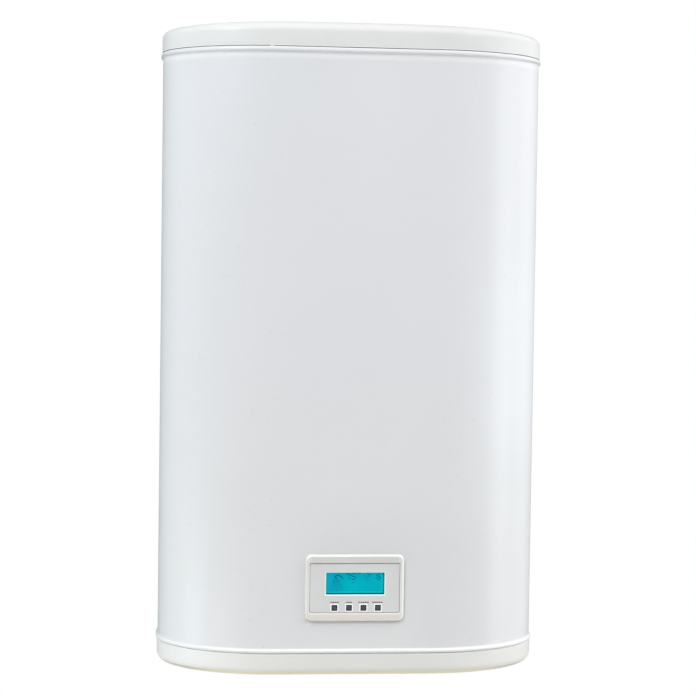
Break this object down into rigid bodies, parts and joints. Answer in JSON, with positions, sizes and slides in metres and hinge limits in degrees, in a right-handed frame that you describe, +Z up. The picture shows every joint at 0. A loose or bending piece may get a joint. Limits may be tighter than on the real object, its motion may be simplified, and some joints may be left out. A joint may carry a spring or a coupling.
{
  "type": "flat electric storage water heater",
  "caption": "Slim wall-hung electric storage water heater: oval casing with rolled beads, moulded end caps, slim display panel low on the front, pipe nipples below and hanging brackets behind.",
  "frame": {"origin": "centre of the upper wall bracket's rear face, which lies on the wall", "axes": "+Z up, +Y into the wall, so the display faces -Y, and +X to the right as seen from the front"},
  "size_m": [0.47, 0.2654, 0.7985],
  "materials": {
    "casing_paint": "satin white powder paint",
    "cap_plastic": "smooth warm white",
    "panel_plastic": "fine satin, light warm grey",
    "key_plastic": "soft-touch dark grey",
    "lcd": "backlit cyan display",
    "light_guide": "translucent white",
    "circuit_board": "green solder mask",
    "zinc_steel": "zinc plated",
    "stainless": "bright stainless",
    "bracket_paint": "white powder paint over folded steel strip",
    "brass": "machined",
    "copper_sheath": "dull copper",
    "rubber": "black",
    "blue_plastic": "glossy blue",
    "red_plastic": "glossy red",
    "foam": null,
    "magnesium": "dull cast grey",
    "dark_plastic": "black moulding",
    "relay_plastic": "blue moulding",
    "nylon": "natural nylon",
    "ribbon": "grey flat cable"
  },
  "bodies": {
    "heater": {"outer_casing": "casing_paint", "top_cap": "cap_plastic", "bottom_cap": "cap_plastic", "service_cover": "cap_plastic", "cover_screw_front_left": "zinc_steel", "cover_screw_front_right": "zinc_steel", "cover_screw_rear_left": "zinc_steel", "cover_screw_rear_right": "zinc_steel", "foam_fill_plug": "nylon", "upper_wall_bracket": "bracket_paint", "lower_wall_bracket": "bracket_paint", "bracket_bolt_upper_left": "zinc_steel", "bracket_bolt_upper_right": "zinc_steel", "bracket_bolt_lower_left": "zinc_steel", "bracket_bolt_lower_right": "zinc_steel", "upper_tank_saddle": "zinc_steel", "lower_tank_saddle": "zinc_steel", "left_tank": "stainless", "right_tank": "stainless", "upper_crossover_pipe": "stainless", "lower_crossover_pipe": "stainless", "cold_inlet_nipple": "zinc_steel", "hot_outlet_nipple": "zinc_steel", "cold_inlet_ring": "blue_plastic", "hot_outlet_ring": "red_plastic", "cold_diffuser": "nylon", "hot_draw_pipe": "stainless", "left_heater_head": "brass", "right_heater_head": "brass", "left_heater_gasket": "rubber", "right_heater_gasket": "rubber", "left_heating_element": "copper_sheath", "right_heating_element": "copper_sheath", "thermowell": "copper_sheath", "temperature_sensor": "dark_plastic", "anode_plug": "brass", "anode_rod": "magnesium", "cable_gland": "nylon", "gland_nut": "nylon", "board_bracket": "zinc_steel", "power_board": "circuit_board", "terminal_block": "nylon", "transformer": "dark_plastic", "relay_left": "relay_plastic", "relay_right": "relay_plastic", "cutout_body": "dark_plastic", "panel_bezel": "panel_plastic", "panel_faceplate": "panel_plastic", "lcd_glass": "lcd", "lcd_backlight": "light_guide", "display_board": "circuit_board", "panel_back_box": "nylon", "ribbon_cable": "ribbon", "foam_insulation": "foam"},
    "key_1": {"button_1": "key_plastic"},
    "key_2": {"button_2": "key_plastic"},
    "key_3": {"button_3": "key_plastic"},
    "key_4": {"button_4": "key_plastic"},
    "cutout_reset": {"cutout_reset_button": "red_plastic"}
  },
  "joints": [
    {"name": "key_1_press", "type": "slide", "parent": "heater", "child": "key_1", "axis": [0, 1, 0], "range_m": [0, 0.0008], "stiffness_N_per_m": 1500, "springref_m": -0.0005},
    {"name": "key_2_press", "type": "slide", "parent": "heater", "child": "key_2", "axis": [0, 1, 0], "range_m": [0, 0.0008], "stiffness_N_per_m": 1500, "springref_m": -0.0005},
    {"name": "key_3_press", "type": "slide", "parent": "heater", "child": "key_3", "axis": [0, 1, 0], "range_m": [0, 0.0008], "stiffness_N_per_m": 1500, "springref_m": -0.0005},
    {"name": "key_4_press", "type": "slide", "parent": "heater", "child": "key_4", "axis": [0, 1, 0], "range_m": [0, 0.0008], "stiffness_N_per_m": 1500, "springref_m": -0.0005},
    {"name": "cutout_reset_press", "type": "slide", "parent": "heater", "child": "cutout_reset", "axis": [0, 0, 1], "range_m": [0, 0.0015], "stiffness_N_per_m": 1500, "springref_m": -0.0005}
  ]
}
